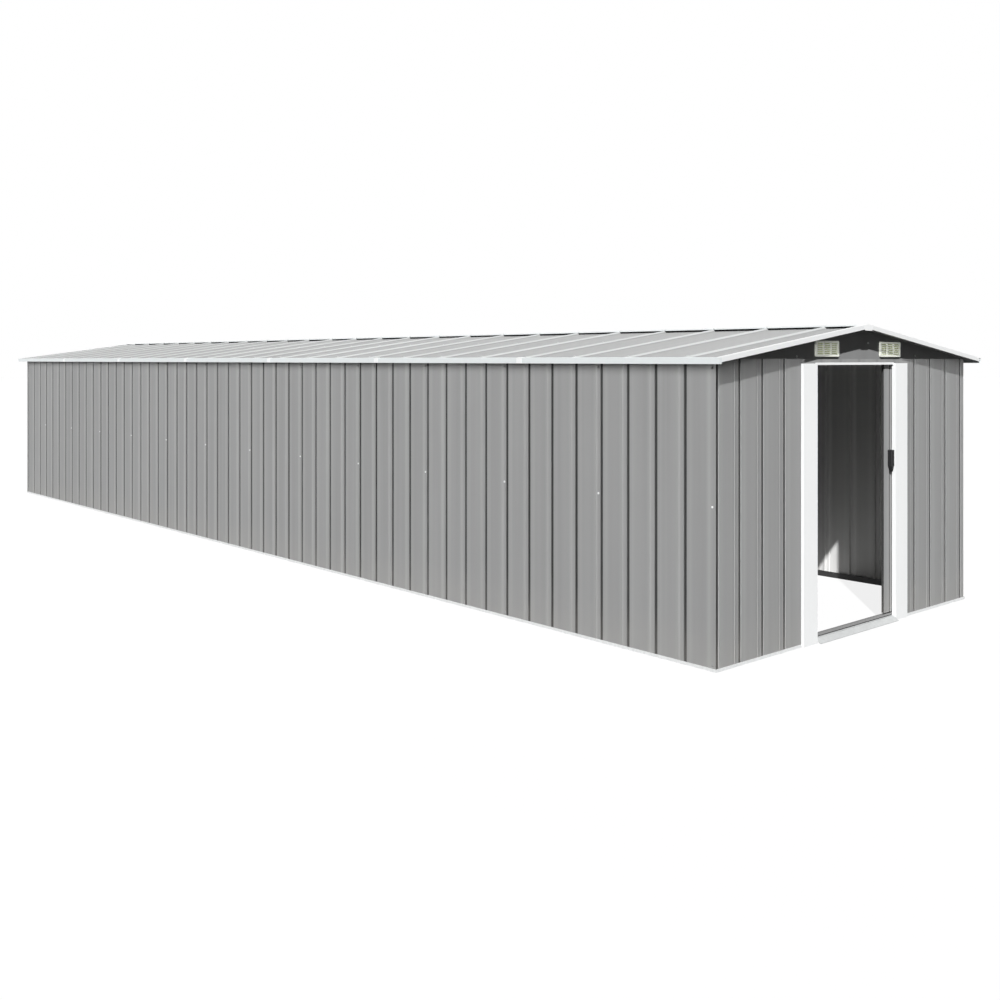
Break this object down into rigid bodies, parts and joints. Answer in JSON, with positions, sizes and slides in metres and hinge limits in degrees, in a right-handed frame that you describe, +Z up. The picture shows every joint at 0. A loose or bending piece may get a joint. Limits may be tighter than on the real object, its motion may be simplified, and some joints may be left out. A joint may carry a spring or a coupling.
{
  "type": "metal storage shed",
  "caption": "Long low metal storage shed with ribbed sheet walls, a gable roof with white trims, gable vents and a doorway closed by a sheet door that slides to the right.",
  "frame": {"origin": "on the ground at the middle of the plan", "axes": "+X to the right as one faces the doorway, +Y from the doorway to the rear wall, +Z up"},
  "size_m": [2.691, 9.995, 1.7292],
  "materials": {
    "door_grey": "satin grey coating on folded sheet",
    "gable_grey": "satin dark grey coating on flat sheet",
    "gear_steel": "zinc plated rollers and straps",
    "guide_plastic": "dark moulded plastic",
    "handle_black": "moulded black plastic",
    "rail_zinc": "satin pale grey coating on folded rails",
    "roof_grey": "satin light grey coating on ribbed sheet",
    "trim_white": "satin white coating on folded sheet",
    "vent_cream": "moulded cream plastic",
    "wall_grey": "satin grey coating on ribbed sheet"
  },
  "bodies": {
    "shell": {"door_bottom_track": "rail_zinc", "door_sill": "rail_zinc", "door_track": "rail_zinc", "front_gable": "gable_grey", "front_header": "wall_grey", "front_left_base_rail": "rail_zinc", "front_left_panel": "wall_grey", "front_right_base_rail": "rail_zinc", "front_right_panel": "wall_grey", "front_verge_trims": "trim_white", "gable_vents": "vent_cream", "left_base_rail": "rail_zinc", "left_eave_trim": "trim_white", "left_jamb": "trim_white", "left_roof_over_sheets": "roof_grey", "left_roof_under_sheets": "roof_grey", "left_top_rail": "rail_zinc", "left_wall_over_panels": "wall_grey", "left_wall_under_panels": "wall_grey", "rear_base_rail": "rail_zinc", "rear_gable": "gable_grey", "rear_top_rail": "rail_zinc", "rear_verge_trims": "trim_white", "rear_wall_over_panels": "wall_grey", "rear_wall_under_panels": "wall_grey", "ridge_beam": "rail_zinc", "ridge_cap": "trim_white", "ridge_end_caps": "trim_white", "right_base_rail": "rail_zinc", "right_eave_trim": "trim_white", "right_jamb": "trim_white", "right_roof_over_sheets": "roof_grey", "right_roof_under_sheets": "roof_grey", "right_top_rail": "rail_zinc", "right_wall_over_panels": "wall_grey", "right_wall_under_panels": "wall_grey", "roof_purlins": "rail_zinc"},
    "door": {"door_braces": "door_grey", "door_guides": "guide_plastic", "door_handle": "handle_black", "door_leaf": "door_grey", "door_rollers": "gear_steel"}
  },
  "joints": [
    {"name": "door_slide", "type": "slide", "parent": "shell", "child": "door", "axis": [-1, 0, 0], "range_m": [0, 0.76]}
  ]
}
